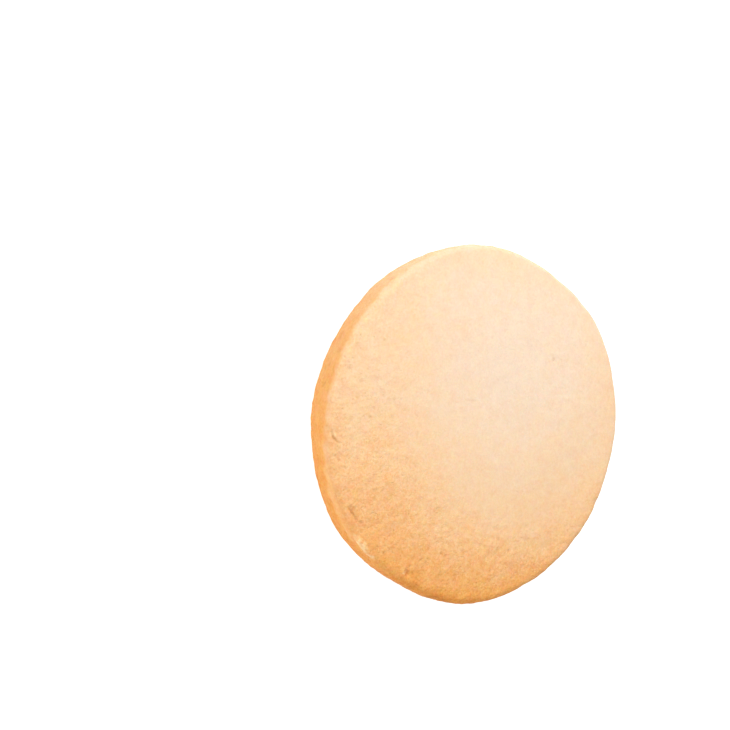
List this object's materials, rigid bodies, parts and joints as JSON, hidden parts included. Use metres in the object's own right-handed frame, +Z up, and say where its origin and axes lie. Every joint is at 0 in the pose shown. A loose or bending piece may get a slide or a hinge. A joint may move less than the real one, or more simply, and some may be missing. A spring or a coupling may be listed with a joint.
{
  "type": "shortbread biscuit",
  "caption": "Thick round shortbread biscuit with a flat pale top, a steep golden side and a soft, slightly uneven cut edge.",
  "frame": {"origin": "on the surface the biscuit rests on, under the middle of its bounding box", "axes": "+Z up through the pale top, +X along the longer way across, the side nearest the viewer faces -Y"},
  "size_m": [0.0624, 0.059, 0.0081],
  "materials": {
    "baked_shortbread": "dry, matt, finely sandy baked dough, pale on top and golden on the side"
  },
  "bodies": {
    "root": {"biscuit": "baked_shortbread"}
  },
  "joints": []
}
